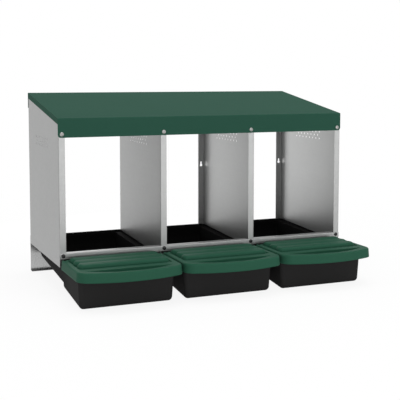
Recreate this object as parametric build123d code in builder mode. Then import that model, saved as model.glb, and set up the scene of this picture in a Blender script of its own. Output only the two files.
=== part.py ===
from build123d import *
from math import atan, cos, radians, tan
import os

os.makedirs("parts", exist_ok=True)

# A three-place roll-away nesting box. X runs along the row of nests, Y from the egg lids to the
# back, Z up from the ground. All sizes are in millimetres.

# Folded steel frame
pitch = 320.0               # centre to centre of neighbouring nests
panel_depth = 415.0         # front plane to rear plane of the upright panels
panel_foot = 93.5           # ground to the lower edge of the upright panels
roof_front = 536.5          # ground to the roof's upper face at its front edge
roof_rise = 68.0            # climb of the roof over the panel depth
sheet = 1.0                 # steel sheet thickness
bend = 2.0                  # centre-line radius of a folded corner
front_flange = 20.0         # width of a panel's front flange
rear_flange = 22.0          # width of a panel's rear flange
ledge = 11.0                # width of the ledge or tabs that carry a tray
ledge_end_gap = 6.0         # from the front and rear planes to the ends of a ledge
tab_count = 6               # tabs along the foot of a divider, turned to alternate sides
tab_length = 44.0
roof_front_flange = 57.5
roof_rear_flange = 51.0
roof_side_flange = 18.0
roof_corner = 10.0          # rounded lower corners of the roof's front and rear flanges
roof_gap = 2.0              # panels below the roof, clear of its folded corners
rail_rise = 23.9            # from the panels' lower edge up to the front rail
rail_height = 17.0
rail_lip = 19.0             # the rail's top edge, folded back into the nests
rail_lip_gap = 1.5          # from a lip's ends to the panels beside it
foot_plate_lap = 26.5       # rear foot plate's overlap on the panels
foot_flange = 24.0          # the foot plate's lower edge, folded forward along the ground

# Ventilation holes and wall keyholes
vent_diameter = 6.0
vent_pitch = 23.0
vent_columns = 8
vent_centre = 213.5         # front plane to the middle of the holes
vent_height = 454.5         # ground to the middle row
keyhole_entry = 9.5
keyhole_slot = 5.2
keyhole_height = 336.0      # ground to the centre of the round entry
keyhole_rise = 11.0

# Screws and nuts
screw_inset = 10.7          # from a web to the screws in its flanges
shank_diameter = 5.0
shank_length = 7.5
head_diameter = 12.4
head_height = 3.2
head_edge = 0.8             # straight rim under the dome of a head
nut_flats = 8.0
nut_height = 3.6
screw_clearance = 0.25      # radial, in a sheet's hole
nut_clearance = 0.1         # radial, in a nut's bore
roof_screw_drop = 47.5      # from the roof's front edge down to its front screws
roof_rear_screw_drop = 34.0
rail_screw_drop = 7.4       # from the rail's top edge down to its screws
foot_screw_drop = 13.5      # from the foot plate's top edge down to its screws

# Moulded nest trays
tray_wall = 2.5
tray_draft = 3.1            # degrees, on the side walls
tray_side_gap = 13.5        # middle of a divider to a side wall's outside at the trough's rim
tray_rear_gap = 17.0        # rear plane to the rear wall
tray_round = 14.0           # outside radius of the trough's lower edges
tray_side_round = 13.0      # outside radius where the side walls meet the floor and ends
tray_back_round = 48.0      # outside radius along the nest floor's rear edge
trough_front = 156.0        # front plane forward to the trough's lower front edge
trough_front_draft = 2.0    # degrees
trough_back = 39.0          # front plane back to the trough's rear wall
trough_slope = 6.6          # degrees, falling to the front
trough_rise = 5.0           # from the front plane forward to where the side walls step up
nest_side_gap = 22.5        # middle of a divider to a nest wall's outside, at the trough rim's height
nest_slope = 5.2            # degrees, so that eggs roll forward
nest_lap = 40.0             # how far the nest reaches forward into the wider trough
rim_skirt = 8.8             # nest rim above its skirt's foot, at the front plane
rim_slope = 2.36            # degrees
rim_lip = 5.0               # outer edge of the rim above its ledge
rim_side_gap = 3.0          # middle of a divider to a tray's rim
rim_start = 3.0             # front plane back to the start of the rim
rim_back_lip = 6.0          # rim beyond the rear wall
rim_corner = 8.0
rim_seat_gap = 0.2          # rim skirt above the ledges

# Hinged egg lids
lid_wall = 2.5
lid_side_gap = 2.0          # middle of a divider to a lid
lid_rise = 13.0             # lid's border above the nest rim at the front plane
lid_skirt = 27.5
lid_draft = 4.5             # degrees
lid_overhang = 81.0         # trough's lower front edge forward to the middle of the bowed front
lid_bow = 34.0              # how far the front bows out past its corners
lid_corner = 40.0
lid_edge_round = 5.0
recess_depth = 4.0
recess_corner = 8.0
recess_margin = 18.0        # from a lid's side to the recess
recess_back_gap = 6.0       # hinge axis forward to the recess
recess_front_gap = 4.5      # trough's lower front edge back to the recess
groove_depth = 8.5
groove_gap = 26.0           # trough's lower front edge forward to the crescent groove
groove_margin = 17.0        # from the bowed front to the groove
groove_end_margin = 30.0    # from a lid's side to the groove's points
ridge_count = 3
ridge_margin = 20.5         # from a lid's side to the ridged panel
ridge_back_lap = 2.0        # ridged panel behind the hinge axis
ridge_front_gap = 9.0       # recess's front edge back to the ridged panel
ridge_top = 9.0             # crest of a ridge above the border
ridge_valley = 7.0          # valley between ridges above the border
hinge_reach = 14.0          # front plane forward to the hinge axis
barrel_radius = 4.5
rod_diameter = 4.0
rod_fit = 0.08              # radial running clearance on the rod
lid_seat_gap = 0.3          # lid above the trough's rim
ear_thickness = 6.0
ear_depth = 14.0            # from the hinge axis down to an ear's foot
ear_gap = 0.8               # between an ear and the lid's barrel
ear_notch_gap = 1.5         # round an ear in the lid

# Places that follow from the sizes above
nest_places = {"left": -1, "center": 0, "right": 1}
half_width = len(nest_places) * pitch / 2
rear_reach = panel_depth + sheet + head_height
lid_reach = trough_front + lid_overhang
front = (lid_reach - rear_reach) / 2
rear = front + panel_depth
roof_angle = atan(roof_rise / panel_depth)
rail_bottom = panel_foot + rail_rise
rail_top = rail_bottom + rail_height
foot_plate_top = panel_foot + foot_plate_lap
roof_screw_z = roof_front - roof_screw_drop
roof_rear_screw_z = roof_front + roof_rise - roof_rear_screw_drop
rail_screw_z = rail_top - rail_screw_drop
foot_screw_z = foot_plate_top - foot_screw_drop
tray_half_width = pitch / 2 - tray_side_gap
nest_half_width = pitch / 2 - nest_side_gap
tray_back = panel_depth - tray_rear_gap
rim_half_width = pitch / 2 - rim_side_gap
lid_half_width = pitch / 2 - lid_side_gap
recess_half_width = lid_half_width - recess_margin
groove_half_width = lid_half_width - groove_end_margin
ridge_half_width = lid_half_width - ridge_margin
skirt_foot = panel_foot + sheet + rim_seat_gap
rim_front = skirt_foot + rim_skirt
lid_top = rim_front + lid_rise
trough_rim = lid_top - lid_wall - lid_seat_gap
ear_inner = tray_half_width - tray_wall
hinge_y = front - hinge_reach
hinge_z = lid_top - barrel_radius
recess_back_y = hinge_y - recess_back_gap
recess_front_y = front - trough_front + recess_front_gap
groove_y = front - trough_front - groove_gap
ridge_back_y = hinge_y + ridge_back_lap
ridge_front_y = recess_front_y + ridge_front_gap
side_web = half_width - sheet / 2
divider_web = pitch / 2
screw_columns = [-side_web + screw_inset, -divider_web + screw_inset,
                 divider_web - screw_inset, side_web - screw_inset]


def roof_z(y, lift):
    """Height of a surface that lies lift above the roof's underside, at y."""
    underside = roof_front - sheet / cos(roof_angle)
    return underside + (y - front) * tan(roof_angle) + lift / cos(roof_angle)


def rim_z(y):
    """Height of a tray's nest rim at y."""
    return rim_front + (y - front) * tan(radians(rim_slope))


def ledge_z(y):
    """Height of the ledge inside a tray's rim at y."""
    return rim_z(y) - rim_lip


def facing_front(y):
    """A plane square to Y, seen from the front, with its own Y axis up."""
    return Plane(origin=(0, y, 0), x_dir=(1, 0, 0), z_dir=(0, -1, 0))


def facing_side(x):
    """A plane square to X whose own axes run along Y and Z."""
    return Plane(origin=(x, 0, 0), x_dir=(0, 1, 0), z_dir=(1, 0, 0))


def upright(web_x, inward, ledges):
    """A folded upright panel: web, flanges, vents, keyhole, screw holes and tray ledges.

    inward is the side that the flanges turn to, and ledges lists (start, end, side) along the foot.
    """
    outer_face = web_x - inward * sheet / 2
    screw_x = web_x + inward * screw_inset
    with BuildPart() as panel:
        with BuildSketch(Plane.XY.offset(panel_foot)):
            with BuildLine():
                FilletPolyline(
                    (outer_face + inward * rear_flange, rear - sheet / 2),
                    (web_x, rear - sheet / 2),
                    (web_x, front + sheet / 2),
                    (outer_face + inward * front_flange, front + sheet / 2),
                    radius=bend,
                )
            trace(line_width=sheet)
        extrude(amount=roof_front + roof_rise)
        roof_underside = Plane(
            origin=(0, front, roof_z(front, -roof_gap)),
            x_dir=(1, 0, 0),
            z_dir=(0, -tan(roof_angle), 1),
        )
        split(bisect_by=roof_underside, keep=Keep.BOTTOM)
        # Below the rail the front flange is cut back to the web, so that a tray can pass
        notch_centre = web_x + inward * (sheet / 2 + front_flange / 2)
        with BuildSketch(facing_front(front)):
            with Locations((notch_centre, (panel_foot + rail_bottom) / 2)):
                Rectangle(front_flange, rail_bottom - panel_foot)
        extrude(amount=-(sheet + bend), mode=Mode.SUBTRACT)
        for start, end, side in ledges:
            with BuildSketch(Plane.XY.offset(panel_foot)):
                with Locations((web_x + side * (sheet + ledge) / 2, (start + end) / 2)):
                    Rectangle(ledge, end - start)
            extrude(amount=sheet)
        # Staggered ventilation holes
        with BuildSketch(facing_side(web_x)):
            with Locations((front + vent_centre, vent_height)):
                with GridLocations(vent_pitch, vent_pitch, vent_columns, 2):
                    Circle(vent_diameter / 2)
                with GridLocations(vent_pitch, vent_pitch, vent_columns - 1, 1):
                    Circle(vent_diameter / 2)
        extrude(amount=sheet, both=True, mode=Mode.SUBTRACT)
        with BuildSketch(facing_front(front)):
            with Locations((screw_x, roof_screw_z), (screw_x, rail_screw_z)):
                Circle(shank_diameter / 2 + screw_clearance)
        extrude(amount=sheet, both=True, mode=Mode.SUBTRACT)
        with BuildSketch(facing_front(rear)):
            with Locations((screw_x, roof_rear_screw_z), (screw_x, foot_screw_z)):
                Circle(shank_diameter / 2 + screw_clearance)
            with Locations((screw_x, keyhole_height)):
                Circle(keyhole_entry / 2)
            with Locations((screw_x, keyhole_height + keyhole_rise / 2)):
                SlotCenterToCenter(keyhole_rise, keyhole_slot, rotation=90)
        extrude(amount=sheet, both=True, mode=Mode.SUBTRACT)
    return panel.part


def keep(part, name):
    """Label a finished piece and write it as a STEP file."""
    part.label = name
    export_step(part, f"parts/{name}.step")


# Upright panels. The outer two have one long ledge, and the dividers carry a tray on each side.
ledge_front = front + ledge_end_gap
ledge_rear = rear - ledge_end_gap
tab_step = (ledge_rear - ledge_front - tab_length) / (tab_count - 1)
for name, hand in (("left", -1), ("right", 1)):
    tabs = []
    for index in range(tab_count):
        tab_start = ledge_front + index * tab_step
        tabs.append((tab_start, tab_start + tab_length, hand if index % 2 else -hand))
    keep(upright(hand * side_web, -hand, [(ledge_front, ledge_rear, -hand)]), f"{name}_side_panel")
    keep(upright(hand * divider_web, -hand, tabs), f"{name}_divider")

# Roof: one sheet folded down at the front, the rear and both sides
roof_half = half_width + sheet
with BuildPart() as roof:
    with BuildSketch(Plane.YZ):
        with BuildLine():
            FilletPolyline(
                (front - sheet / 2, roof_front - roof_front_flange),
                (front - sheet / 2, roof_z(front - sheet / 2, sheet / 2)),
                (rear + sheet / 2, roof_z(rear + sheet / 2, sheet / 2)),
                (rear + sheet / 2, roof_front + roof_rise - roof_rear_flange),
                radius=bend,
            )
        trace(line_width=sheet)
    extrude(amount=roof_half, both=True)
    fillet(roof.edges().filter_by(Axis.Y).group_by(Axis.Z)[0], radius=roof_corner)
    for hand in (-1, 1):
        with BuildSketch(facing_side(hand * (half_width + sheet / 2))):
            with BuildLine():
                Polyline(
                    (front - sheet / 2, roof_z(front, sheet / 2)),
                    (rear + sheet / 2, roof_z(rear, sheet / 2)),
                    (rear + sheet / 2, roof_z(rear, sheet) - roof_side_flange),
                    (front - sheet / 2, roof_z(front, sheet) - roof_side_flange),
                    close=True,
                )
            make_face()
        extrude(amount=sheet / 2, both=True)
    with BuildSketch(facing_front(front)):
        with Locations(*[(x, roof_screw_z) for x in screw_columns]):
            Circle(shank_diameter / 2 + screw_clearance)
    extrude(amount=sheet, mode=Mode.SUBTRACT)
    with BuildSketch(facing_front(rear)):
        with Locations(*[(x, roof_rear_screw_z) for x in screw_columns]):
            Circle(shank_diameter / 2 + screw_clearance)
    extrude(amount=-sheet, mode=Mode.SUBTRACT)
keep(roof.part, "roof")

# Front rail: an angle whose upper edge folds back into each nest between the panels
with BuildPart() as front_rail:
    with BuildSketch(Plane.YZ):
        with BuildLine():
            FilletPolyline(
                (front - sheet / 2, rail_bottom),
                (front - sheet / 2, rail_top - sheet / 2),
                (front + rail_lip, rail_top - sheet / 2),
                radius=bend,
            )
        trace(line_width=sheet)
    extrude(amount=half_width, both=True)
    with BuildSketch(Plane.XY.offset(rail_top - bend - sheet)):
        for hand in (-1, 1):
            for outer_face in (half_width, divider_web + sheet / 2):
                with Locations((hand * (outer_face - front_flange / 2), front + rail_lip / 2)):
                    Rectangle(front_flange + 2 * rail_lip_gap, rail_lip)
    extrude(amount=bend + 2 * sheet, mode=Mode.SUBTRACT)
    with BuildSketch(facing_front(front)):
        with Locations(*[(x, rail_screw_z) for x in screw_columns]):
            Circle(shank_diameter / 2 + screw_clearance)
    extrude(amount=sheet, mode=Mode.SUBTRACT)
keep(front_rail.part, "front_rail")

# Rear foot plate: closes the back behind the trays and stands on a forward flange
with BuildPart() as rear_foot_plate:
    with BuildSketch(Plane.YZ):
        with BuildLine():
            FilletPolyline(
                (rear + sheet / 2, foot_plate_top),
                (rear + sheet / 2, sheet / 2),
                (rear + sheet - foot_flange, sheet / 2),
                radius=bend,
            )
        trace(line_width=sheet)
    extrude(amount=half_width, both=True)
    with BuildSketch(facing_front(rear)):
        with Locations(*[(x, foot_screw_z) for x in screw_columns]):
            Circle(shank_diameter / 2 + screw_clearance)
    extrude(amount=-sheet, mode=Mode.SUBTRACT)
keep(rear_foot_plate.part, "rear_foot_plate")

# One domed screw and one nut, standing on the outer face of the sheets along their own +Z
with BuildPart() as domed_screw:
    with BuildSketch(Plane.XZ):
        with BuildLine():
            Polyline(
                (0, head_height),
                (0, -shank_length),
                (shank_diameter / 2, -shank_length),
                (shank_diameter / 2, 0),
                (head_diameter / 2, 0),
                (head_diameter / 2, head_edge),
            )
            TangentArc((0, head_height), (head_diameter / 2, head_edge), tangent=(1, 0))
        make_face()
    revolve(axis=Axis.Z)
with BuildPart() as hex_nut:
    with BuildSketch(Plane.XY.offset(-2 * sheet - nut_height)):
        RegularPolygon(nut_flats / 2, 6, major_radius=False)
        Circle(shank_diameter / 2 + nut_clearance, mode=Mode.SUBTRACT)
    extrude(amount=nut_height)

# Each row of four screws clamps a pair of sheets, with its nuts inside the box
screw_rows = {
    "roof_front": (front - sheet, roof_screw_z, -1),
    "roof_rear": (rear + sheet, roof_rear_screw_z, 1),
    "rail": (front - sheet, rail_screw_z, -1),
    "foot_plate": (rear + sheet, foot_screw_z, 1),
}
for name, (seat_y, seat_z, out) in screw_rows.items():
    seats = [Plane(origin=(x, seat_y, seat_z), x_dir=(0, 0, 1), z_dir=(0, out, 0)) for x in screw_columns]
    with BuildPart() as screws:
        with Locations(*seats):
            add(domed_screw.part)
    with BuildPart() as nuts:
        with Locations(*seats):
            add(hex_nut.part)
    keep(screws.part, f"{name}_screws")
    keep(nuts.part, f"{name}_nuts")

# Side profile of a tray's tub. The trough's lower front edge is set so that its rounded edge
# just touches the ground.
floor_tan = tan(radians(trough_slope))
lean_tan = tan(radians(trough_front_draft))
floor_sec = 1 / cos(radians(trough_slope))
lean_sec = 1 / cos(radians(trough_front_draft))
round_in = tray_round * (lean_sec - lean_tan * floor_sec) / (1 + floor_tan * lean_tan)
trough_low = tray_round - (round_in * floor_tan + tray_round * floor_sec)
step_y = front + trough_back
step_z = trough_low + (step_y - front + trough_front) * floor_tan
lap_y = step_y - nest_lap


def outlined(edge):
    """Whether an edge of a side wall is rounded: not along the open top, nor inside the trough."""
    low = edge.vertices().sort_by(Axis.Z)[0]
    return low.Z < rim_z(low.Y) - rim_lip - tray_wall and abs(edge.center().Y - lap_y) > 2 * tray_wall


def basin(corners, rounded, radius, half, inset):
    """A filled basin whose side walls lean in towards the bottom.

    corners gives its side profile and half its half width at the trough rim's height. Its faces are moved
    in by inset. rounded picks the profile's corners, from the lowest up, that have the outside radius.
    """
    crown = max(z for y, z in corners) + tray_round
    with BuildPart() as solid:
        with BuildSketch(Plane.YZ) as profile:
            with BuildLine():
                Polyline(*corners, close=True)
            make_face()
            if inset:
                offset(amount=-inset, kind=Kind.INTERSECTION)
            fillet(profile.vertices().sort_by(Axis.Y)[rounded], radius=radius - inset)
        extrude(amount=rim_half_width, both=True)
        lean = tan(radians(tray_draft))
        crown_half = half - inset + (crown - trough_rim) * lean
        low_half = half - inset - (trough_rim + tray_round) * lean
        with BuildSketch(facing_front(front)):
            with BuildLine():
                Polyline(
                    (-low_half, -tray_round),
                    (low_half, -tray_round),
                    (crown_half, crown),
                    (-crown_half, crown),
                    close=True,
                )
            make_face()
        extrude(amount=trough_front + tray_back, both=True, mode=Mode.INTERSECT)
        # All edges of the side walls but the open top are rounded
        sides = solid.faces().filter_by(lambda face: abs(face.normal_at().X) > cos(radians(2 * tray_draft)))
        fillet(sides.edges().filter_by(outlined), radius=tray_side_round - inset)
    return solid.part


def tub(inset, headroom):
    """The tub as a filled solid, its walls moved in by inset and its top raised by headroom."""
    front_low_y = front - trough_front
    back_y = front + tray_back
    wall_step_y = front - trough_rise
    trough_top = trough_rim + headroom
    nest_tan = tan(radians(nest_slope))
    trough = basin(
        [
            (front_low_y - (trough_top - trough_low) * lean_tan, trough_top),
            (front_low_y, trough_low),
            (step_y, step_z),
            (step_y, rim_z(step_y) + headroom),
            (wall_step_y, rim_z(wall_step_y) + headroom),
            (wall_step_y, trough_top),
        ],
        slice(0, 2),
        tray_round,
        tray_half_width,
        inset,
    )
    nest = basin(
        [
            (lap_y, step_z - nest_lap * nest_tan),
            (back_y, step_z + (back_y - step_y) * nest_tan),
            (back_y, ledge_z(back_y) + headroom),
            (lap_y, ledge_z(lap_y) + headroom),
        ],
        slice(1, 2),
        tray_back_round,
        nest_half_width,
        inset,
    )
    with BuildPart() as whole:
        add(trough)
        add(nest)
    return whole.part


def rim_block(inset, low, high):
    """The nest rim as a filled block between the heights low(y) and high(y), its sides moved in by inset."""
    start_y = front + rim_start - inset
    back_y = front + tray_back + rim_back_lip - inset
    with BuildPart() as block:
        with BuildSketch(Plane.YZ):
            with BuildLine():
                Polyline(
                    (start_y, low(start_y)),
                    (back_y, low(back_y)),
                    (back_y, high(back_y)),
                    (start_y, high(start_y)),
                    close=True,
                )
            make_face()
        extrude(amount=rim_half_width - inset, both=True)
        fillet(block.edges().filter_by(Axis.Z).sort_by(Axis.Y)[-2:], radius=rim_corner - inset)
    return block.part


outer_rim = rim_block(0, lambda y: skirt_foot, rim_z)
over_ledge = rim_block(tray_wall, ledge_z, lambda y: rim_z(y) + tray_wall)
under_ledge = rim_block(tray_wall, lambda y: skirt_foot - tray_wall, lambda y: ledge_z(y) - tray_wall)
outer_tub = tub(0, 0)
inner_tub = tub(tray_wall, trough_rim - rim_front + 2 * tray_wall)
with BuildPart() as tray:
    add(outer_rim)
    add(over_ledge, mode=Mode.SUBTRACT)
    add(under_ledge, mode=Mode.SUBTRACT)
    add(outer_tub)
    # Ears for the lid's hinge rod stand on the side walls
    for hand in (-1, 1):
        with BuildSketch(facing_side(hand * ear_inner)):
            with Locations((hinge_y, hinge_z)):
                Circle(barrel_radius)
            with Locations((hinge_y, hinge_z - ear_depth / 2)):
                Rectangle(2 * barrel_radius, ear_depth)
        extrude(amount=hand * ear_thickness)
    add(inner_tub, mode=Mode.SUBTRACT)
    with BuildSketch(Plane.YZ):
        with Locations((hinge_y, hinge_z)):
            Circle(rod_diameter / 2 + rod_fit)
    extrude(amount=ear_inner + ear_thickness, both=True, mode=Mode.SUBTRACT)

with BuildPart() as hinge_rod:
    with BuildSketch(Plane.YZ):
        with Locations((hinge_y, hinge_z)):
            Circle(rod_diameter / 2)
    extrude(amount=ear_inner + ear_thickness, both=True)


def lid_block(inset):
    """The lid's bow-fronted outside as a filled block, its faces moved in by inset."""
    side_x = lid_half_width - inset
    corner_y = front - lid_reach + lid_bow
    back_y = hinge_y + barrel_radius + 2 * inset
    skirt_plane = Plane.XY.offset(lid_top - lid_skirt)
    with BuildPart() as block:
        with BuildSketch(skirt_plane) as plan:
            with BuildLine():
                Polyline(
                    (side_x, corner_y),
                    (side_x, back_y),
                    (-side_x, back_y),
                    (-side_x, corner_y),
                )
                ThreePointArc((-side_x, corner_y), (0, front - lid_reach + inset), (side_x, corner_y))
            make_face()
            fillet(plan.vertices().sort_by(Axis.Y)[:2], radius=lid_corner - inset)
        extrude(amount=lid_skirt - inset)
        draft(block.faces().filter_by(Axis.Z, reverse=True), skirt_plane, lid_draft)
        top_edges = block.edges().group_by(Axis.Z)[-1].sort_by(Axis.Y)[:-1]
        fillet(top_edges, radius=lid_edge_round - inset)
    return block.part


def ridge_block(inset):
    """The lid's ridged panel: arches that run along X, their faces moved in by inset."""
    back_y = ridge_back_y - inset
    front_y = ridge_front_y + inset
    step = (front_y - back_y) / ridge_count
    crest = lid_top + ridge_top - inset
    valley = lid_top + ridge_valley - inset
    foot = lid_top - recess_depth - 2 * inset
    with BuildPart() as block:
        with BuildSketch(Plane.YZ):
            with BuildLine():
                for index in range(ridge_count):
                    start_y = back_y + index * step
                    ThreePointArc((start_y, valley), (start_y + step / 2, crest), (start_y + step, valley))
                Polyline((front_y, valley), (front_y, foot), (back_y, foot), (back_y, valley))
            make_face()
        extrude(amount=ridge_half_width - inset, both=True)
    return block.part


outer_lid = lid_block(0)
inner_lid = lid_block(lid_wall)
outer_ridges = ridge_block(0)
inner_ridges = ridge_block(lid_wall)
recess_length = recess_back_y - recess_front_y
recess_centre = (recess_back_y + recess_front_y) / 2
barrel_half = ear_inner - ear_gap
with BuildSketch() as crescent:
    with BuildLine():
        Line((groove_half_width, groove_y), (-groove_half_width, groove_y))
        ThreePointArc(
            (-groove_half_width, groove_y),
            (0, front - lid_reach + groove_margin),
            (groove_half_width, groove_y),
        )
    make_face()
with BuildPart() as lid:
    add(outer_lid)
    add(inner_lid, mode=Mode.SUBTRACT)
    # The top keeps its wall under the recess and the groove
    with BuildSketch(Plane.XY.offset(lid_top - lid_wall - recess_depth)):
        with Locations((0, recess_centre)):
            RectangleRounded(
                2 * (recess_half_width + lid_wall),
                recess_length + 2 * lid_wall,
                radius=recess_corner + lid_wall,
            )
    extrude(amount=recess_depth)
    with BuildSketch(Plane.XY.offset(lid_top - lid_wall - groove_depth)):
        add(crescent.sketch)
        offset(crescent.sketch, amount=lid_wall, mode=Mode.ADD)
    extrude(amount=groove_depth)
    with BuildSketch(Plane.XY.offset(lid_top - recess_depth)):
        with Locations((0, recess_centre)):
            RectangleRounded(2 * recess_half_width, recess_length, radius=recess_corner)
    extrude(amount=recess_depth, mode=Mode.SUBTRACT)
    with BuildSketch(Plane.XY.offset(lid_top - groove_depth)):
        add(crescent.sketch)
    extrude(amount=groove_depth, mode=Mode.SUBTRACT)
    add(outer_ridges)
    add(inner_ridges, mode=Mode.SUBTRACT)
    # Notches leave room for the tray's ears, and the rolled rear edge turns on the rod
    notch_half = (ear_thickness + ear_gap + ear_notch_gap) / 2
    notch_length = 2 * (barrel_radius + ear_notch_gap)
    with BuildSketch(Plane.XY.offset(hinge_z - barrel_radius - ear_notch_gap)):
        with Locations((-barrel_half - notch_half, hinge_y), (barrel_half + notch_half, hinge_y)):
            Rectangle(2 * notch_half, notch_length)
    extrude(amount=notch_length, mode=Mode.SUBTRACT)
    with BuildSketch(Plane.YZ):
        with Locations((hinge_y, hinge_z)):
            Circle(barrel_radius)
    extrude(amount=barrel_half, both=True)
    with BuildSketch(Plane.YZ):
        with Locations((hinge_y, hinge_z)):
            Circle(rod_diameter / 2 + rod_fit)
    extrude(amount=barrel_half, both=True, mode=Mode.SUBTRACT)

# The same tray, rod and lid serve each nest
for name, place in nest_places.items():
    shift = Pos(place * pitch, 0, 0)
    keep(shift * tray.part, f"{name}_tray")
    keep(shift * hinge_rod.part, f"{name}_hinge_rod")
    keep(shift * lid.part, f"{name}_lid")
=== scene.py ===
import logging
import math
from dataclasses import dataclass
from enum import Enum

import bpy
import numpy as np
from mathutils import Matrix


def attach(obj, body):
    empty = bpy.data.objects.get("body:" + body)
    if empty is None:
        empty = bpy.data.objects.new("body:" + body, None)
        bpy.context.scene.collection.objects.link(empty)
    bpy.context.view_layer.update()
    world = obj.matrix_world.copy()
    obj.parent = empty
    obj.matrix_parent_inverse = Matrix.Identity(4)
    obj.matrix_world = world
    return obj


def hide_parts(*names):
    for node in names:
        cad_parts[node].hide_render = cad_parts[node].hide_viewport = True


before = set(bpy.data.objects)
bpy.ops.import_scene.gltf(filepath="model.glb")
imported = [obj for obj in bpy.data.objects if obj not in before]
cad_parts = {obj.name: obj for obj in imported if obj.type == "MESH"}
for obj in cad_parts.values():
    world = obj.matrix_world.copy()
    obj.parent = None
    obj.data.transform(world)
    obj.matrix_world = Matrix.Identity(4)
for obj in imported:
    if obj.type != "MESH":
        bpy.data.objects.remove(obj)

LOG = logging.getLogger("nesting_box")
MM = 0.001
WELD_STEPS = 487.31  # per millimetre, an uneven number so that round sizes stay clear of a step's edge
WHITE = (1.0, 1.0, 1.0, 1.0)
Triple = tuple[float, float, float]


class Place(Enum):
    """Where a nest stands in the row, as a multiple of the pitch."""

    LEFT = -1
    CENTER = 0
    RIGHT = 1

    @property
    def word(self) -> str:
        """The name that the nest's nodes and bodies begin with."""
        return self.name.lower()


class Side(Enum):
    """Which way a row of screws faces along Y."""

    FRONT = -1
    REAR = 1


def soft_step(distance: np.ndarray, width: float) -> np.ndarray:
    """A smooth climb from 0 to 1, centred where the distance is zero.

    Formula: t*t*(3 - 2*t), with t the distance over the width, shifted by a half and held to 0..1.

    Args:
        distance: signed distances.
        width: the distance over which the climb happens.

    Returns:
        Values from 0 to 1, of the same shape.
    """
    t = np.clip(distance / width + 0.5, 0.0, 1.0)
    return t * t * (3.0 - 2.0 * t)


def arc_radius(half_chord: float, rise: float) -> float:
    """Radius of an arc: the squares of half its chord and of its rise, added, over twice the rise."""
    return (half_chord ** 2 + rise ** 2) / (2.0 * rise)


def full_turn(steps: int) -> np.ndarray:
    """Even angles once round, in radians."""
    return np.linspace(0.0, 2.0 * math.pi, steps, endpoint=False)


def revolved(radius: np.ndarray, height: np.ndarray, turn: np.ndarray) -> np.ndarray:
    """Rings about the Z axis: x and y are the radius times the turn's cosine and sine.

    Args:
        radius: one radius per ring, or rings x turn.
        height: one height per ring, or rings x turn.
        turn: angles in radians.

    Returns:
        Array of rings x turn x 3.
    """
    x, y, z = np.broadcast_arrays(radius * np.cos(turn), radius * np.sin(turn), height + 0.0 * turn)
    return np.stack([x, y, z], axis=-1)


class Shell:
    """Collects grids of points and turns them into one mesh object."""

    def __init__(self) -> None:
        """Start with no points and no faces."""
        self.points: list[np.ndarray] = []
        self.quads: list[np.ndarray] = []
        self.count = 0

    def grid(self, points: np.ndarray, around: bool = False, flip: bool = False,
             keep: np.ndarray | None = None) -> None:
        """Add a surface given as rows and columns of points, in millimetres.

        Args:
            points: array of rows x columns x 3.
            around: whether the last column joins the first.
            flip: whether the faces turn the other way.
            keep: optional mask of the quads that stay, rows - 1 x columns - 1.
        """
        rows, columns = points.shape[:2]
        index = np.arange(rows * columns).reshape(rows, columns) + self.count
        right = np.roll(index, -1, axis=1) if around else index[:, 1:]
        left = index if around else index[:, :-1]
        quads = np.stack([left[:-1], right[:-1], right[1:], left[1:]], axis=-1)
        if flip:
            quads = quads[..., ::-1]
        self.quads.append(quads[keep] if keep is not None else quads.reshape(-1, 4))
        self.points.append(points.reshape(-1, 3))
        self.count += rows * columns

    def welded(self) -> tuple[np.ndarray, np.ndarray, np.ndarray]:
        """Join the points that share a place, drop unused ones, and close the poles with triangles.

        Places are compared to about two thousandths of a millimetre. A quad with two joined corners
        loses one of them.

        Returns:
            Points in metres, quads and triangles.
        """
        points = np.concatenate(self.points)
        quads = np.concatenate(self.quads)
        keys = np.round(points * WELD_STEPS).astype(np.int64)
        first, where = np.unique(keys, axis=0, return_index=True, return_inverse=True)[1:]
        used, quads = np.unique(where.reshape(-1)[quads], return_inverse=True)
        quads = quads.reshape(-1, 4)
        joined = quads == np.roll(quads, -1, axis=1)
        pinched = joined.any(axis=1)
        order = (joined.argmax(axis=1)[pinched][:, None] + np.array([1, 2, 3])) % 4
        triangles = np.take_along_axis(quads[pinched], order, axis=1)
        whole = (triangles != np.roll(triangles, -1, axis=1)).all(axis=1)
        return points[first[used]] * MM, quads[~pinched], triangles[whole]

    def build(self, name: str, crease: float) -> bpy.types.Object:
        """Make the mesh and shade it smooth.

        Args:
            name: the object's name.
            crease: angle in degrees past which an edge stays sharp.

        Returns:
            The new object, at the origin.
        """
        points, quads, triangles = self.welded()
        mesh = bpy.data.meshes.new(name)
        mesh.from_pydata(points.tolist(), [], quads.tolist() + triangles.tolist())
        mesh.polygons.foreach_set("use_smooth", np.ones(len(mesh.polygons), dtype=bool))
        mesh.set_sharp_from_angle(angle=math.radians(crease))
        made = bpy.data.objects.new(name, mesh)
        bpy.context.scene.collection.objects.link(made)
        return made


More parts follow.
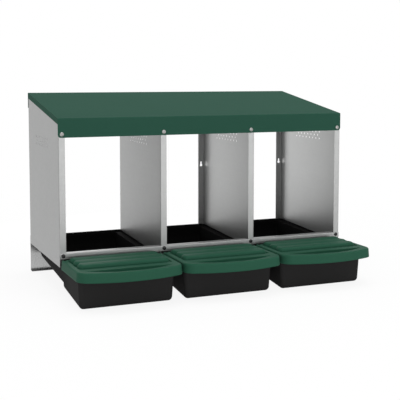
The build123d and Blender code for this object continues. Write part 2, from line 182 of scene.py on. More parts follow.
class Graph:
    """A node tree with short calls to add nodes and to join them."""

    def __init__(self, tree: bpy.types.NodeTree) -> None:
        """Hold the tree and clear it."""
        self.tree = tree
        tree.nodes.clear()

    def add(self, kind: str, inputs: dict | None = None, **settings: object) -> bpy.types.Node:
        """Add a node.

        Args:
            kind: the node's type name without its ShaderNode prefix, or the full name.
            inputs: socket name or number to a constant, or to an output socket to join.
            settings: properties of the node itself.

        Returns:
            The new node.
        """
        full = kind if kind.startswith(("Node", "Shader")) else f"ShaderNode{kind}"
        node = self.tree.nodes.new(full)
        for key, value in settings.items():
            setattr(node, key, value)
        for key, value in (inputs or {}).items():
            socket = node.inputs[key]
            if isinstance(value, bpy.types.NodeSocket):
                self.tree.links.new(value, socket)
            else:
                socket.default_value = value
        return node

    def math(self, operation: str, first: object, second: object = 0.0) -> bpy.types.NodeSocket:
        """Add a Math node.

        Args:
            operation: what it does.
            first: its first number, a constant or a socket.
            second: its second number.

        Returns:
            The node's output.
        """
        return self.add("Math", {0: first, 1: second}, operation=operation).outputs[0]

    def scaled(self, value: object, share: object, start: object) -> bpy.types.NodeSocket:
        """A value times a share, added to a start."""
        return self.math("ADD", self.math("MULTIPLY", value, share), start)

    def swing(self, value: object, share: object) -> bpy.types.NodeSocket:
        """How far a value of 0 to 1 lies from its middle, times a share."""
        return self.math("MULTIPLY", self.math("SUBTRACT", value, 0.5), share)


def effect_group(name: str, inputs: dict[str, float | None], outputs: tuple[str, ...]
                 ) -> tuple[bpy.types.NodeTree, Graph, bpy.types.Node, bpy.types.Node]:
    """Start a shader node group with named sockets.

    Args:
        name: the group's name.
        inputs: input names to their defaults, with None for a vector.
        outputs: names of the value outputs.

    Returns:
        The tree, its graph, and its input and output nodes.
    """
    tree = bpy.data.node_groups.new(name, "ShaderNodeTree")
    graph = Graph(tree)
    for label, default in inputs.items():
        kind = "NodeSocketVector" if default is None else "NodeSocketFloat"
        socket = tree.interface.new_socket(name=label, in_out="INPUT", socket_type=kind)
        if default is not None:
            socket.default_value = default
    for label in outputs:
        tree.interface.new_socket(name=label, in_out="OUTPUT", socket_type="NodeSocketFloat")
    return tree, graph, graph.add("NodeGroupInput"), graph.add("NodeGroupOutput")


class Effects:
    """The shader effects that several finishes share, each built once. Scales count per metre."""

    SPECK_SHARE = 0.10
    WARP_REACH = (0.006, 0.006, 0.006)
    STREAK_SCALE = (4.0, 4.0, 420.0)
    CRYSTAL_SHARE = 0.3
    STREAK_SHARE = 2.0
    CRYSTAL_HEIGHT = 0.15

    def __init__(self) -> None:
        """Build every group."""
        self.grain = self._grain()
        self.spangle = self._spangle()
        self.scuffs = self._scuffs()

    @staticmethod
    def _grain() -> bpy.types.NodeTree:
        """Fine even grain with a slow drift: one noise gives Height and specks, another a Shade about 1.

        Returns:
            The group, with outputs Shade and Height.
        """
        tree, graph, entry, leave = effect_group(
            "surface_grain", {"Vector": None, "Grain Scale": 1500.0, "Drift": 0.06}, ("Shade", "Height"))
        spot = entry.outputs["Vector"]
        fine = graph.add("TexNoise", {"Vector": spot, "Scale": entry.outputs["Grain Scale"],
                                      "Detail": 2.0, "Roughness": 0.6}).outputs["Fac"]
        slow = graph.add("TexNoise", {"Vector": spot, "Scale": 7.0, "Detail": 3.0}).outputs["Fac"]
        drift = graph.swing(slow, entry.outputs["Drift"])
        speck = graph.swing(fine, Effects.SPECK_SHARE)
        shade = graph.math("ADD", graph.math("ADD", drift, speck), 1.0)
        tree.links.new(shade, leave.inputs["Shade"])
        tree.links.new(fine, leave.inputs["Height"])
        return tree

    @staticmethod
    def _spangle() -> bpy.types.NodeTree:
        """Zinc crystals: warped cells give each its own Shade and Gloss, and rolling streaks run level.

        Returns:
            The group, with outputs Shade, Gloss and Height.
        """
        tree, graph, entry, leave = effect_group(
            "zinc_spangle", {"Vector": None, "Cell Scale": 120.0, "Contrast": 0.10},
            ("Shade", "Gloss", "Height"))
        spot = entry.outputs["Vector"]
        warp = graph.add("TexNoise", {"Vector": spot, "Scale": 90.0, "Detail": 2.0}).outputs["Color"]
        bent = graph.add("VectorMath", {0: warp, 1: Effects.WARP_REACH}, operation="MULTIPLY").outputs[0]
        place = graph.add("VectorMath", {0: spot, 1: bent}, operation="ADD").outputs[0]
        cells = graph.add("TexVoronoi", {"Vector": place, "Scale": entry.outputs["Cell Scale"]})
        tone = graph.add("SeparateColor", {0: cells.outputs["Color"]}).outputs
        long = graph.add("Mapping", {"Vector": spot, "Scale": Effects.STREAK_SCALE}).outputs[0]
        streak = graph.add("TexNoise", {"Vector": long, "Scale": 1.0, "Detail": 3.0}).outputs["Fac"]
        cloud = graph.add("TexNoise", {"Vector": spot, "Scale": 5.0, "Detail": 2.0}).outputs["Fac"]
        crystal = graph.swing(tone[0], Effects.CRYSTAL_SHARE)
        vary = graph.math("ADD", crystal, graph.swing(streak, Effects.STREAK_SHARE))
        vary = graph.math("ADD", vary, graph.math("SUBTRACT", cloud, 0.5))
        tree.links.new(graph.scaled(vary, entry.outputs["Contrast"], 1.0), leave.inputs["Shade"])
        tree.links.new(tone[1], leave.inputs["Gloss"])
        tree.links.new(graph.scaled(tone[2], Effects.CRYSTAL_HEIGHT, streak), leave.inputs["Height"])
        return tree

    @staticmethod
    def _scuffs() -> bpy.types.NodeTree:
        """Faint rubbed patches: stretched noise held to its peaks and broken up by a coarse noise.

        Returns:
            The group, with output Mask.
        """
        tree, graph, entry, leave = effect_group(
            "rubbed_scuffs", {"Vector": None, "Scale": 60.0, "Cover": 0.62}, ("Mask",))
        spot = entry.outputs["Vector"]
        turned = graph.add("Mapping", {"Vector": spot, "Rotation": (0.3, 0.5, 0.7), "Scale": (1.0, 6.0, 3.0)})
        hair = graph.add("TexNoise", {"Vector": turned.outputs[0], "Scale": entry.outputs["Scale"],
                                      "Detail": 4.0}).outputs["Fac"]
        patch = graph.add("TexNoise", {"Vector": spot, "Scale": 9.0, "Detail": 2.0}).outputs["Fac"]
        peak = graph.add("MapRange", {"Value": hair, "From Min": entry.outputs["Cover"], "From Max": 0.8})
        broken = graph.add("MapRange", {"Value": patch, "From Min": 0.5, "From Max": 0.7})
        tree.links.new(graph.math("MULTIPLY", peak.outputs[0], broken.outputs[0]), leave.inputs["Mask"])
        return tree


def blank_material(name: str) -> tuple[bpy.types.Material, Graph]:
    """Start a material with an empty node tree.

    Args:
        name: the material's name.

    Returns:
        The material and its graph.
    """
    made = bpy.data.materials.new(name)
    made.use_nodes = True
    return made, Graph(made.node_tree)


def tinted(graph: Graph, colour: Triple, shade: bpy.types.NodeSocket) -> bpy.types.NodeSocket:
    """Multiply a colour by a shade that varies over the surface.

    Args:
        graph: the material's graph.
        colour: the plain colour.
        shade: a value about 1.

    Returns:
        The colour's socket.
    """
    grey = graph.add("CombineColor", {0: shade, 1: shade, 2: shade}).outputs[0]
    mix = graph.add("Mix", {"Factor": 1.0, 6: (*colour, 1.0), 7: grey},
                    data_type="RGBA", blend_type="MULTIPLY")
    return mix.outputs[2]


@dataclass(frozen=True)
class GalvanisedSheet:
    """Dull zinc-coated sheet with small crystals and faint rolling streaks."""

    name: str = "galvanised_sheet"
    colour: Triple = (0.313, 0.316, 0.314)
    metallic: float = 0.85
    roughness: float = 0.39
    contrast: float = 0.035
    gloss_swing: float = 0.03
    bump: float = 0.06
    bump_height: float = 0.0003

    def material(self, effects: Effects) -> bpy.types.Material:
        """Build the finish's material.

        Args:
            effects: the shared effects.

        Returns:
            The material.
        """
        made, graph = blank_material(self.name)
        spot = graph.add("TexCoord").outputs["Object"]
        zinc = graph.add("Group", {"Vector": spot, "Contrast": self.contrast}, node_tree=effects.spangle)
        rough = graph.scaled(zinc.outputs["Gloss"], self.gloss_swing, self.roughness - self.gloss_swing / 2.0)
        bump = graph.add("Bump", {"Strength": self.bump, "Distance": self.bump_height,
                                  "Height": zinc.outputs["Height"]})
        surface = graph.add("BsdfPrincipled", {
            "Base Color": tinted(graph, self.colour, zinc.outputs["Shade"]), "Metallic": self.metallic,
            "Roughness": rough, "Normal": bump.outputs[0]})
        graph.add("OutputMaterial", {"Surface": surface.outputs[0]})
        return made


@dataclass(frozen=True)
class GrainedCoat:
    """A coloured coat or moulded plastic with fine grain and faint rubbed patches.

    Behind the panels' front plane its colour is multiplied by a darker factor: painted shade, standing in for
    the dark inside of the box. The change runs between two places along Y, in metres.
    """

    name: str
    colour: Triple
    roughness: float
    specular: float
    grain_scale: float
    grain_height: float
    scuff: float
    inside_shade: float = 1.0
    shade_start: float = -0.15
    shade_full: float = -0.07
    scuff_roughness: float = 0.12
    grain_roughness: float = 0.05
    bump: float = 0.25

    def material(self, effects: Effects) -> bpy.types.Material:
        """Build the finish's material.

        Args:
            effects: the shared effects.

        Returns:
            The material.
        """
        made, graph = blank_material(self.name)
        spot = graph.add("TexCoord").outputs["Object"]
        grain = graph.add("Group", {"Vector": spot, "Grain Scale": self.grain_scale}, node_tree=effects.grain)
        rubbed = graph.add("Group", {"Vector": spot}, node_tree=effects.scuffs).outputs["Mask"]
        # Painted shade: the colour darkens from the panels' front plane backwards, for the dark inside of the
        # box.
        back = graph.add("SeparateXYZ", {0: spot}).outputs["Y"]
        painted_shade = graph.add("MapRange", {"Value": back, "From Min": self.shade_start, "To Min": 1.0,
                                      "From Max": self.shade_full, "To Max": self.inside_shade}).outputs[0]
        shade = graph.math("MULTIPLY", graph.scaled(rubbed, self.scuff, grain.outputs["Shade"]), painted_shade)
        rough = graph.scaled(rubbed, self.scuff_roughness, self.roughness)
        rough = graph.scaled(grain.outputs["Height"], self.grain_roughness, rough)
        bump = graph.add("Bump", {"Strength": self.bump, "Distance": self.grain_height,
                                  "Height": grain.outputs["Height"]})
        surface = graph.add("BsdfPrincipled", {
            "Base Color": tinted(graph, self.colour, shade), "Roughness": rough,
            "Specular IOR Level": self.specular, "Normal": bump.outputs[0]})
        graph.add("OutputMaterial", {"Surface": surface.outputs[0]})
        return made


@dataclass(frozen=True)
class PlatedSteel:
    """Plated steel for screws, nuts and rods."""

    name: str
    colour: Triple
    roughness: float
    metallic: float = 0.85
    grain_scale: float = 700.0
    drift: float = 0.15
    rough_swing: float = 0.15
    rough_drop: float = 0.07

    def material(self, effects: Effects) -> bpy.types.Material:
        """Build the finish's material.

        Args:
            effects: the shared effects.

        Returns:
            The material.
        """
        made, graph = blank_material(self.name)
        spot = graph.add("TexCoord").outputs["Object"]
        grain = graph.add("Group", {"Vector": spot, "Grain Scale": self.grain_scale, "Drift": self.drift},
                          node_tree=effects.grain)
        rough = graph.scaled(grain.outputs["Height"], self.rough_swing, self.roughness - self.rough_drop)
        surface = graph.add("BsdfPrincipled", {
            "Base Color": tinted(graph, self.colour, grain.outputs["Shade"]), "Metallic": self.metallic,
            "Roughness": rough})
        graph.add("OutputMaterial", {"Surface": surface.outputs[0]})
        return made


def dress(node: str, material: bpy.types.Material) -> None:
    """Give a CAD node one material.

    Args:
        node: the node's name.
        material: its finish.
    """
    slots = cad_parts[node].data.materials
    slots.clear()
    slots.append(material)
    LOG.info("dressed %s with %s", node, material.name)


@dataclass(frozen=True)
class LidDensity:
    """How many points a lid's surface takes along each of its parts."""

    flat: int = 26
    corner: int = 10
    step: int = 7
    shoulder: int = 9
    ridges: int = 73
    gap: int = 4
    bridge: int = 9
    groove: int = 10
    border: int = 15
    rounding: int = 8
    skirt: int = 7
    barrel: int = 40


@dataclass
class EggLid:
    """A bow-fronted moulded lid with a ridged panel, a crescent groove and a rolled hinge edge.

    Sizes are in millimetres, the draft and the creases in degrees. Sizes named reach, front or back count
    forward from the panels' front plane. Those named fine say where the closer columns of points at the
    ridges' ends start and stop, and their step. Those named clear are what the next rows of points keep off
    the ridges and the groove.
    """

    place: Place
    pitch: float = 320.0
    front_plane: float = -91.1
    half_width: float = 158.0
    reach: float = 237.0
    bow: float = 34.0
    corner: float = 40.0
    top: float = 116.5
    skirt: float = 27.5
    draft: float = 4.5
    edge_round: float = 5.0
    wall: float = 2.5
    hinge_reach: float = 14.0
    barrel_radius: float = 4.5
    barrel_half: float = 143.2
    barrel_chamfer: float = 0.4
    bore_radius: float = 2.08
    notch_front: float = 20.0
    recess_depth: float = 4.0
    recess_half: float = 140.0
    recess_back: float = 20.0
    recess_front: float = 151.5
    recess_corner: float = 8.0
    ridges: int = 3
    ridge_half: float = 138.5
    ridge_tuck: float = 8.0
    ridge_end: float = 9.0
    ridge_back: float = 12.0
    ridge_front: float = 142.5
    ridge_shoulder: float = 5.0
    ridge_top: float = 9.0
    ridge_valley: float = 7.0
    groove_depth: float = 8.5
    groove_back: float = 182.0
    groove_margin: float = 17.0
    groove_half: float = 128.0
    groove_soft: float = 1.6
    groove_least: float = 4.0
    border_least: float = 12.0
    squeeze_margin: float = 6.0
    soft: float = 3.0
    fine_start: float = 1.5
    fine_stop: float = 1.7
    fine_step: float = 0.8
    ridge_clear: float = 1.0
    groove_clear: float = 1.5
    crease: float = 50.0
    barrel_crease: float = 30.0
    density: LidDensity = LidDensity()

    @property
    def middle(self) -> float:
        """X of the lid's middle."""
        return self.place.value * self.pitch

    @property
    def bow_radius(self) -> float:
        """Radius of the bowed front."""
        return arc_radius(self.half_width, self.bow)

    @property
    def groove_radius(self) -> float:
        """Radius of the crescent's front."""
        return arc_radius(self.groove_half, self.reach - self.groove_margin - self.groove_back)

    @property
    def groove_middle(self) -> float:
        """Reach of the centre of the crescent's front."""
        return self.reach - self.groove_margin - self.groove_radius

    @property
    def bow_middle(self) -> float:
        """Reach of the bowed front's centre."""
        return self.reach - self.bow_radius

    @property
    def corner_middle(self) -> tuple[float, float]:
        """x and reach of a corner's centre, one corner radius inside the side and the bow."""
        x = self.half_width - self.corner
        return x, self.bow_middle + math.sqrt((self.bow_radius - self.corner) ** 2 - x ** 2)

    @property
    def edge_inset(self) -> float:
        """How far in from the skirt's foot the border's rounded edge starts."""
        lean = math.radians(self.draft)
        return (self.skirt - self.edge_round) * math.tan(lean) + self.edge_round / math.cos(lean)

    def front_edge(self, x: np.ndarray, inset: np.ndarray) -> tuple[np.ndarray, np.ndarray]:
        """The front from the left side to the right, moved in from the skirt's foot.

        Every point lies on an arc, about its corner's centre near the sides and about the bow's centre
        between them. It keeps its direction from that centre, and the inset comes off the radius.

        Args:
            x: places of the points across the lid, at the border's edge.
            inset: how far in, one per row, as a column.

        Returns:
            x and reach of the points, rows x points each.
        """
        corner_x, corner_y = self.corner_middle
        meet = corner_x * (self.bow_radius - self.edge_inset) / (self.bow_radius - self.corner)
        turned = np.abs(x) > meet
        centre_x = np.where(turned, np.sign(x) * corner_x, 0.0)
        centre_y = np.where(turned, corner_y, self.bow_middle)
        radius = np.where(turned, self.corner, self.bow_radius)
        aside = np.clip((x - centre_x) / (radius - self.edge_inset), -1.0, 1.0)
        ahead = np.sqrt(1.0 - aside ** 2)
        return centre_x + (radius - inset) * aside, centre_y + (radius - inset) * ahead

    def recess_rise(self, x: np.ndarray, reach: np.ndarray) -> np.ndarray:
        """Height of the recess: a soft step down inside a rectangle with rounded corners.

        Args:
            x: places across the lid, from its middle.
            reach: places along the lid.

        Returns:
            Heights in millimetres, at most 0.
        """
        across = np.abs(x) - self.recess_half + self.recess_corner
        half_length = (self.recess_front - self.recess_back) / 2.0
        along = np.abs(reach - self.recess_back - half_length) - half_length + self.recess_corner
        outside = np.hypot(np.maximum(across, 0.0), np.maximum(along, 0.0))
        inside = self.recess_corner - outside - np.minimum(np.maximum(across, along), 0.0)
        return -self.recess_depth * soft_step(inside, self.soft)

    def ridge_rise(self, x: np.ndarray, reach: np.ndarray, ground: np.ndarray) -> np.ndarray:
        """Height of the ridged panel over what lies under it.

        Each ridge is a parabola along the lid, crest to valley. The panel's ends are quarter ellipses, and
        its sides tuck in towards the valleys.

        Args:
            x: places across the lid, from its middle.
            reach: places along the lid.
            ground: heights without the panel.

        Returns:
            Heights in millimetres.
        """
        step = (self.ridge_front - self.ridge_back) / self.ridges
        along = np.clip((reach - self.ridge_back) / step, 0.0, self.ridges - 1e-6)
        phase = 2.0 * np.mod(along, 1.0) - 1.0
        arch = self.ridge_top - (self.ridge_top - self.ridge_valley) * phase ** 2
        aside = (self.ridge_half - self.ridge_tuck * phase ** 2 - np.abs(x)) / self.ridge_end
        ahead = np.minimum(reach - self.ridge_back, self.ridge_front - reach) / self.ridge_shoulder
        within = np.clip(np.stack([aside, ahead]), 0.0, 1.0)
        return ground + (arch - ground) * np.sqrt(within * (2.0 - within)).prod(axis=0)

    def groove_rise(self, x: np.ndarray, reach: np.ndarray) -> np.ndarray:
        """Height of the crescent groove: a soft step down between a straight line and an arc.

        Args:
            x: places across the lid, from its middle.
            reach: places along the lid.

        Returns:
            Heights in millimetres, at most 0.
        """
        before_arc = self.groove_radius - np.hypot(x, reach - self.groove_middle)
        inside = np.minimum(before_arc, reach - self.groove_back)
        return -self.groove_depth * soft_step(inside, self.groove_soft)

    def columns(self) -> np.ndarray:
        """Places across the lid, close together at the ridges' and the recess's ends and in the corners.

        Returns:
            x from the left to the right.
        """
        corner_x = self.corner_middle[0]
        run = self.half_width - self.edge_inset - corner_x
        turn = np.linspace(math.acos((self.barrel_half - corner_x) / run), 0.0, self.density.corner)
        flat = self.ridge_half - self.ridge_tuck - self.ridge_end
        half = np.concatenate([
            np.linspace(0.0, flat, self.density.flat),
            np.arange(flat + self.fine_start, self.recess_half - self.fine_stop, self.fine_step),
            self.recess_half + self.soft * np.linspace(-0.5, 0.5, self.density.step),
            corner_x + run * np.cos(turn),
        ])
        return np.concatenate([-half[::-1], half[1:]])

    def rows(self, x: np.ndarray, edge: np.ndarray) -> np.ndarray:
        """Places along the lid, row by row, from the hinge to the bowed edge.

        Rows are straight as far as the crescent, then follow its arc, then the bow. Where a column is too
        short for them, near the corners, they draw closer together.

        Args:
            x: place of each column across the lid.
            edge: reach of the bowed edge at each column.

        Returns:
            Array of rows x columns.
        """
        count = self.density
        beside = np.array([-1.0, -0.6, -0.2, 0.2, 0.6, 1.0])
        shoulder = self.ridge_shoulder * (1.0 - np.cos(np.linspace(0.0, math.pi / 2.0, count.shoulder)))
        first, last = self.ridge_back + self.ridge_shoulder, self.ridge_front - self.ridge_shoulder
        straight = np.unique(np.round(np.concatenate([
            self.ridge_back + shoulder,
            np.linspace(first, last, count.ridges),
            self.ridge_front - shoulder,
            np.linspace(self.ridge_front + self.ridge_clear, self.recess_front - self.soft, count.gap),
            self.recess_front + self.soft * np.linspace(-0.5, 0.5, count.step),
            np.linspace(self.recess_front + self.soft, self.groove_back - self.groove_clear, count.bridge),
            self.groove_back + beside,
        ]), 3))
        inner = np.clip(x, -self.groove_half, self.groove_half)
        arc = self.groove_middle + np.sqrt(self.groove_radius ** 2 - inner ** 2)
        arc = np.maximum(arc, self.groove_back + self.groove_least)
        full = np.maximum(edge, arc + self.border_least)
        floor_share = np.linspace(0.0, 1.0, count.groove)[1:, None]
        border_share = np.linspace(0.0, 1.0, count.border)[1:, None]
        reach = np.concatenate([
            np.repeat(straight[:, None], len(x), axis=1),
            straight[-1] + floor_share * (arc + beside[0] - straight[-1]),
            arc + beside[1:, None],
            arc + beside[-1] + border_share * (full - arc - beside[-1]),
        ])
        start = self.recess_front + self.squeeze_margin
        squeezed = start + (reach - start) * (edge - start) / (full - start)
        return np.where(reach > start, squeezed, reach)

    def edge_strip(self, side: np.ndarray, columns: np.ndarray) -> np.ndarray:
        """The rounded edge and the skirt: one profile carried from the left rear round the bow to the right.

        The profile is a quarter round from the border to the wall, then the drafted wall down to its foot.

        Args:
            side: the top's rows along a side, as reach.
            columns: x of the points along the front.

        Returns:
            Array of profile points x path points x 3.
        """
        lean = math.radians(self.draft)
        turn = np.linspace(math.pi / 2.0, lean, self.density.rounding)
        centre_z = self.skirt - self.edge_round
        wall = np.linspace(centre_z + self.edge_round * math.sin(lean), 0.0, self.density.skirt)[1:]
        rounding = self.edge_inset - self.edge_round * np.cos(turn)
        inset = np.concatenate([rounding, wall * math.tan(lean)])[:, None]
        height = np.concatenate([centre_z + self.edge_round * np.sin(turn), wall])[:, None]
        edge_x, edge_y = self.front_edge(columns, inset)
        side = np.concatenate([[self.hinge_reach - self.barrel_radius], side[:-1]])[None, :]
        side_x = np.broadcast_to(self.half_width - inset, (len(inset), side.shape[1]))
        side_y = np.broadcast_to(side, side_x.shape)
        x = np.concatenate([-side_x, edge_x, side_x], axis=1)
        y = np.concatenate([side_y, edge_y, side_y[:, ::-1]], axis=1)
        z = np.broadcast_to(self.top - self.skirt + height, x.shape)
        return np.stack([self.middle + x, self.front_plane - y, z], axis=-1)

    def build(self) -> bpy.types.Object:
        """Make the lid's wall from its top and its edge strip.

        Returns:
            The lid, thickened inwards, at its place in the row.
        """
        columns = self.columns()
        edge_x, edge_y = self.front_edge(columns, np.array([[self.edge_inset]]))
        reach = self.rows(edge_x[0], edge_y[0])
        x = np.broadcast_to(edge_x, reach.shape)
        height = self.ridge_rise(x, reach, self.recess_rise(x, reach)) + self.groove_rise(x, reach)
        top = np.stack([self.middle + x, self.front_plane - reach, self.top + height], axis=-1)
        beside_barrel = np.abs(x[1:, 1:] + x[:-1, :-1]) > 2.0 * self.barrel_half
        notched = beside_barrel & (reach[:-1, :-1] < self.notch_front)
        shell = Shell()
        shell.grid(top, flip=True, keep=~notched)
        shell.grid(self.edge_strip(reach[:, 0], columns), flip=True)
        made = shell.build(f"{self.place.word}_lid_shell", self.crease)
        wall = made.modifiers.new("wall", "SOLIDIFY")
        wall.thickness = self.wall * MM
        wall.offset = -1.0
        wall.use_even_offset = True
        LOG.info("built %s", made.name)
        return made

    def barrel(self) -> bpy.types.Object:
        """The rolled rear edge: a bored tube along X, its profile an annulus carried between two ends.

        Returns:
            The tube, at its place in the row.
        """
        inner, outer, end = self.bore_radius, self.barrel_radius, self.barrel_half
        rim, stop = outer - self.barrel_chamfer, end - self.barrel_chamfer
        radius = np.array([inner, rim, outer, outer, rim, inner, inner])[:, None]
        along = np.array([-end, -end, -stop, stop, end, end, -end])[:, None]
        tube = revolved(radius, along, full_turn(self.density.barrel))
        shift = np.array([self.middle, self.front_plane - self.hinge_reach, self.top - self.barrel_radius])
        shell = Shell()
        shell.grid(tube[..., [2, 0, 1]] + shift, around=True)
        made = shell.build(f"{self.place.word}_lid_barrel", self.barrel_crease)
        LOG.info("built %s", made.name)
        return made

    def dress(self, material: bpy.types.Material) -> None:
        """Build the pieces, let them ride on the lid's body and stand for its CAD node.

        Args:
            material: the lid's finish.
        """
        for piece in (self.build(), self.barrel()):
            piece.data.materials.append(material)
            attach(piece, f"{self.place.word}_egg_lid")
            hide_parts(f"{self.place.word}_lid")


@dataclass
class ScrewRow:
    """Four domed screws with cross recesses, and their hexagon nuts, along one seam.

    Sizes are in millimetres, the crease in degrees. The inner rings of a dome give the radius where they
    end and their count, the outer rings the radius where they start and their count.
    """

    name: str
    side: Side
    seat_y: float
    seat_z: float
    columns: tuple[float, ...] = (-468.8, -149.3, 149.3, 468.8)
    sheet: float = 1.0
    head_radius: float = 6.2
    head_height: float = 3.2
    head_edge: float = 0.8
    shank_radius: float = 2.5
    shank_length: float = 7.5
    recess_half: float = 0.62
    recess_reach: float = 2.7
    recess_side: float = 0.35
    recess_end: float = 0.5
    recess_depth: float = 1.5
    recess_taper: float = 0.12
    thread: float = 0.8
    thread_depth: float = 0.42
    tip_radius: float = 1.7
    tip_length: float = 0.4
    nut_flats: float = 8.0
    nut_height: float = 3.6
    nut_washer: float = 0.97
    nut_slope: float = 0.5
    bore_radius: float = 2.6
    crease: float = 35.0
    turn_steps: int = 72
    inner_rings: tuple[float, int] = (3.6, 18)
    outer_rings: tuple[float, int] = (4.0, 7)
    thread_rings: int = 60

    @property
    def turn(self) -> np.ndarray:
        """Angles once round a screw."""
        return full_turn(self.turn_steps)

    def placed(self, local: np.ndarray, x: float) -> np.ndarray:
        """Turn points whose third number runs out of the sheet into the row's frame.

        Args:
            local: points about a screw's own axis.
            x: the screw's place along the row.

        Returns:
            The points in the shared frame.
        """
        out = self.side.value
        return np.stack([x + local[..., 0], self.seat_y + out * local[..., 2],
                         self.seat_z - out * local[..., 1]], axis=-1)

    def recess_arm(self, aside: np.ndarray, along: np.ndarray) -> np.ndarray:
        """One arm's share of the cross's depth: a soft step at its sides times one at its ends."""
        ends = soft_step(self.recess_reach - along, self.recess_end)
        return soft_step(self.recess_half - aside, self.recess_side) * ends

    def screw(self) -> np.ndarray:
        """One screw as rings about its own axis.

        The dome is a spherical cap, sunk by a cross of two tapering arms. The shank is a cylinder with a
        helical groove: its radius falls with the saw-tooth of height over pitch plus the turn.

        Returns:
            Array of rings x turn x 3, from the dome's middle to the shank's end.
        """
        cap = arc_radius(self.head_radius, self.head_height - self.head_edge)
        outer_start, outer_count = self.outer_rings
        outer = np.linspace(outer_start, self.head_radius, outer_count)
        radius = np.concatenate([np.linspace(0.0, *self.inner_rings), outer])[:, None]
        x, y = np.abs(radius * np.cos(self.turn)), np.abs(radius * np.sin(self.turn))
        cross = np.maximum(self.recess_arm(x, y), self.recess_arm(y, x))
        sunk = self.recess_depth * cross * (1.0 - self.recess_taper * radius)
        dome = self.head_height - cap + np.sqrt(cap ** 2 - radius ** 2) - sunk
        neck = revolved(np.array([[self.head_radius], [self.shank_radius]]), np.zeros((2, 1)), self.turn)
        down = np.linspace(0.0, -self.shank_length + self.tip_length, self.thread_rings)[:, None]
        saw = np.abs(2.0 * np.mod(down / self.thread + self.turn / (2.0 * math.pi), 1.0) - 1.0)
        shank = revolved(self.shank_radius - self.thread_depth * saw, down, self.turn)
        tip = revolved(np.array([[self.tip_radius], [0.0]]), np.full((2, 1), -self.shank_length), self.turn)
        return np.concatenate([revolved(radius, dome, self.turn), neck, shank, tip])

    def nut(self) -> np.ndarray:
        """One nut as rings: a hexagon whose corners a cone cuts back at both faces, and a bore.

        Returns:
            Array of rings x turn x 3, closed on itself.
        """
        sixth = math.pi / 3.0
        hexagon = self.nut_flats / 2.0 / np.cos(np.mod(self.turn + sixth / 2.0, sixth) - sixth / 2.0)
        washer = np.full_like(hexagon, self.nut_flats / 2.0 * self.nut_washer)
        bore = np.full_like(hexagon, self.bore_radius)
        cut = (hexagon - washer) * self.nut_slope
        high = np.full_like(hexagon, -2.0 * self.sheet)
        low = high - self.nut_height
        radius = np.stack([bore, washer, hexagon, hexagon, washer, bore, bore])
        height = np.stack([high, high, high - cut, low + cut, low, low, high])
        return revolved(radius, height, self.turn)

    def dress(self, material: bpy.types.Material) -> None:
        """Build the row's screws and nuts and let them stand for their CAD nodes.

        Args:
            material: the row's finish.
        """
        for kind, one in (("screws", self.screw()), ("nuts", self.nut())):
            shell = Shell()
            for x in self.columns:
                shell.grid(self.placed(one, x), around=True, flip=True)
            piece = shell.build(f"{self.name}_{kind}_detail", self.crease)
            piece.data.materials.append(material)
            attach(piece, "frame")
            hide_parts(f"{self.name}_{kind}")
            LOG.info("built %s", piece.name)


@dataclass(frozen=True)
class Lamp:
    """A flat lamp: where it hangs, the point that it faces, its width and height in metres, and its watts."""

    name: str
    place: Triple
    aim: Triple
    size: tuple[float, float]
    power: float

    def hang(self) -> None:
        """Put the lamp into the scene, turned to its aim."""
        data = bpy.data.lights.new(self.name, "AREA")
        data.shape = "RECTANGLE"
        data.size, data.size_y = self.size
        data.energy = self.power
        lamp = bpy.data.objects.new(self.name, data)
        x, y, z = np.array(self.aim) - np.array(self.place)
        lamp.location = self.place
        lamp.rotation_euler = (math.atan2(math.hypot(x, y), -z), 0.0, math.atan2(-x, y))
        bpy.context.scene.collection.objects.link(lamp)


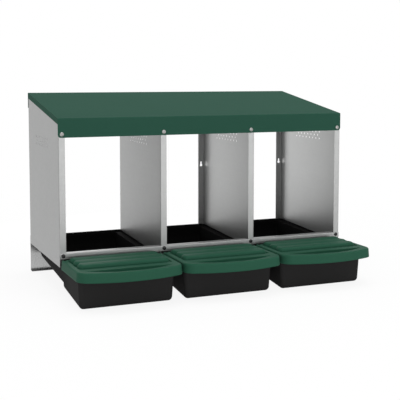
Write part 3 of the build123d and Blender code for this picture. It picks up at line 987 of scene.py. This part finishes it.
@dataclass
class Studio:
    """A pale floor, soft light and the camera.

    Sizes are in metres, angles in degrees, the lens and the sensor in millimetres.
    """

    eye: Triple = (-1.08862, -2.6154, 0.65891)
    yaw: float = 22.7788
    pitch: float = 4.67
    lens: float = 78.848
    shift: float = -0.13
    sensor: float = 36.0
    sight: float = 50.0
    floor_half: float = 15.0
    floor_tone: float = 0.90
    shadow: float = 0.11
    shadow_near: float = 0.8
    shadow_far: float = 2.2
    room_low: float = 0.50
    room_high: float = 0.90
    lamps: tuple[Lamp, ...] = (
        Lamp("overhead", (0.0, -1.0, 6.0), (0.0, 0.0, 0.3), (4.0, 4.0), 140.0),
        Lamp("front", (0.6, -3.5, 0.2), (0.0, 0.0, 0.3), (5.0, 0.4), 31.0),
        Lamp("rear", (-0.1, 1.4, 0.25), (0.2, 0.0, 0.3), (0.5, 0.9), 2.0),
    )

    def camera(self) -> None:
        """Set the camera at the photograph's view."""
        data = bpy.data.cameras.new("camera")
        data.lens = self.lens
        data.sensor_width = self.sensor
        data.shift_y = self.shift
        data.clip_end = self.sight
        camera = bpy.data.objects.new("camera", data)
        camera.location = self.eye
        camera.rotation_euler = (math.radians(90.0 - self.pitch), 0.0, -math.radians(self.yaw))
        bpy.context.scene.collection.objects.link(camera)
        bpy.context.scene.camera = camera

    @staticmethod
    def seen(graph: Graph) -> bpy.types.NodeSocket:
        """A mask that is 1 for camera, glossy and transmission rays.

        Args:
            graph: the tree that it goes into.

        Returns:
            The mask's socket.
        """
        path = graph.add("LightPath").outputs
        return graph.math("MAXIMUM", graph.math("MAXIMUM", path["Is Camera Ray"], path["Is Glossy Ray"]),
                          path["Is Transmission Ray"])

    def floor(self) -> None:
        """Lay a plain floor that shows white and keeps a soft shadow near the object."""
        mesh = bpy.data.meshes.new("floor")
        half, tone = self.floor_half, self.floor_tone
        corners = [(-half, -half, 0), (half, -half, 0), (half, half, 0), (-half, half, 0)]
        mesh.from_pydata(corners, [], [(0, 1, 2, 3)])
        made, graph = blank_material("pale_floor")
        matt = graph.add("BsdfDiffuse", {"Color": (tone, tone, tone, 1.0)})
        white = graph.add("Emission", {"Color": WHITE, "Strength": 1.0})
        away = graph.add("VectorMath", {0: graph.add("TexCoord").outputs["Object"]}, operation="LENGTH")
        plain = graph.add("MapRange", {
            "Value": away.outputs["Value"], "From Min": self.shadow_near, "From Max": self.shadow_far,
            "To Min": 1.0 - self.shadow, "To Max": 1.0}, interpolation_type="SMOOTHSTEP")
        share = graph.math("MULTIPLY", self.seen(graph), plain.outputs[0])
        mix = graph.add("MixShader", {0: share, 1: matt.outputs[0], 2: white.outputs[0]})
        graph.add("OutputMaterial", {"Surface": mix.outputs[0]})
        mesh.materials.append(made)
        floor = bpy.data.objects.new("floor", mesh)
        bpy.context.scene.collection.objects.link(floor)

    def world(self) -> None:
        """Fill the room with soft light, brighter overhead, and show it white."""
        world = bpy.data.worlds.new("room")
        bpy.context.scene.world = world
        world.use_nodes = True
        graph = Graph(world.node_tree)
        up = graph.add("SeparateXYZ", {0: graph.add("TexCoord").outputs["Generated"]}).outputs["Z"]
        level = graph.add("MapRange", {"Value": up, "To Min": self.room_low, "To Max": self.room_high})
        room = graph.add("Background", {"Color": WHITE, "Strength": level.outputs[0]})
        white = graph.add("Background", {"Color": WHITE, "Strength": 1.0})
        mix = graph.add("MixShader", {0: self.seen(graph), 1: room.outputs[0], 2: white.outputs[0]})
        graph.add("OutputWorld", {"Surface": mix.outputs[0]})

    def build(self) -> None:
        """Set up the whole studio."""
        self.floor()
        self.world()
        for lamp in self.lamps:
            lamp.hang()
        self.camera()
        bpy.context.scene.view_settings.view_transform = "Standard"


SHEET_NODES = ("left_side_panel", "left_divider", "right_divider", "right_side_panel", "front_rail")
FRONT_SEAT, REAR_SEAT = -92.1, 324.9
PANEL_ZINC = GalvanisedSheet()
# The foot plate's sheet is a lighter copy of the panels' zinc: painted light, for the light that falls on its
# face.
FOOT_ZINC_PAINTED_LIGHT = GalvanisedSheet("galvanised_sheet_painted_light", (0.48, 0.483, 0.481), roughness=0.22)
ROOF_GREEN = GrainedCoat("roof_powder_coat", (0.022, 0.073, 0.050), roughness=0.62, specular=0.025,
                         grain_scale=1100.0, grain_height=0.00012, scuff=0.05)
LID_GREEN = GrainedCoat("lid_plastic_green", (0.0203, 0.0790, 0.0488), roughness=0.50, specular=0.036,
                        grain_scale=1800.0, grain_height=0.00008, scuff=0.08)
# Inside the box the trays' colour falls to 0.45 of itself: painted shade for the dark nests.
TRAY_BLACK = GrainedCoat("tray_plastic_black", (0.0245, 0.0240, 0.0240), roughness=0.55, specular=0.012,
                         grain_scale=1800.0, grain_height=0.0001, scuff=0.15, inside_shade=0.45)
SCREW_ZINC = PlatedSteel("zinc_plate", (0.36, 0.36, 0.35), roughness=0.34)
# Near-black rail screws: painted shade, standing in for the shadow that darkens the rail's fasteners.
SCREW_PAINTED_SHADE = PlatedSteel("steel_painted_shade", (0.035, 0.036, 0.036), roughness=0.36)
ROD_WIRE = PlatedSteel("drawn_wire", (0.50, 0.50, 0.50), roughness=0.30)


def main() -> None:
    logging.basicConfig(level=logging.INFO, format="%(message)s")
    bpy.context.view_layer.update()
    effects = Effects()
    sheet = PANEL_ZINC.material(effects)
    for node in SHEET_NODES:
        dress(node, sheet)
    dress("rear_foot_plate", FOOT_ZINC_PAINTED_LIGHT.material(effects))
    dress("roof", ROOF_GREEN.material(effects))
    black, green = TRAY_BLACK.material(effects), LID_GREEN.material(effects)
    wire = ROD_WIRE.material(effects)
    for place in Place:
        dress(f"{place.word}_tray", black)
        dress(f"{place.word}_hinge_rod", wire)
        EggLid(place).dress(green)
    zinc, dark = SCREW_ZINC.material(effects), SCREW_PAINTED_SHADE.material(effects)
    ScrewRow("roof_front", Side.FRONT, FRONT_SEAT, seat_z=489.0).dress(zinc)
    ScrewRow("rail", Side.FRONT, FRONT_SEAT, seat_z=127.0).dress(dark)
    ScrewRow("roof_rear", Side.REAR, REAR_SEAT, seat_z=570.5).dress(zinc)
    ScrewRow("foot_plate", Side.REAR, REAR_SEAT, seat_z=106.5).dress(zinc)
    Studio().build()


if __name__ == "__main__":
    main()
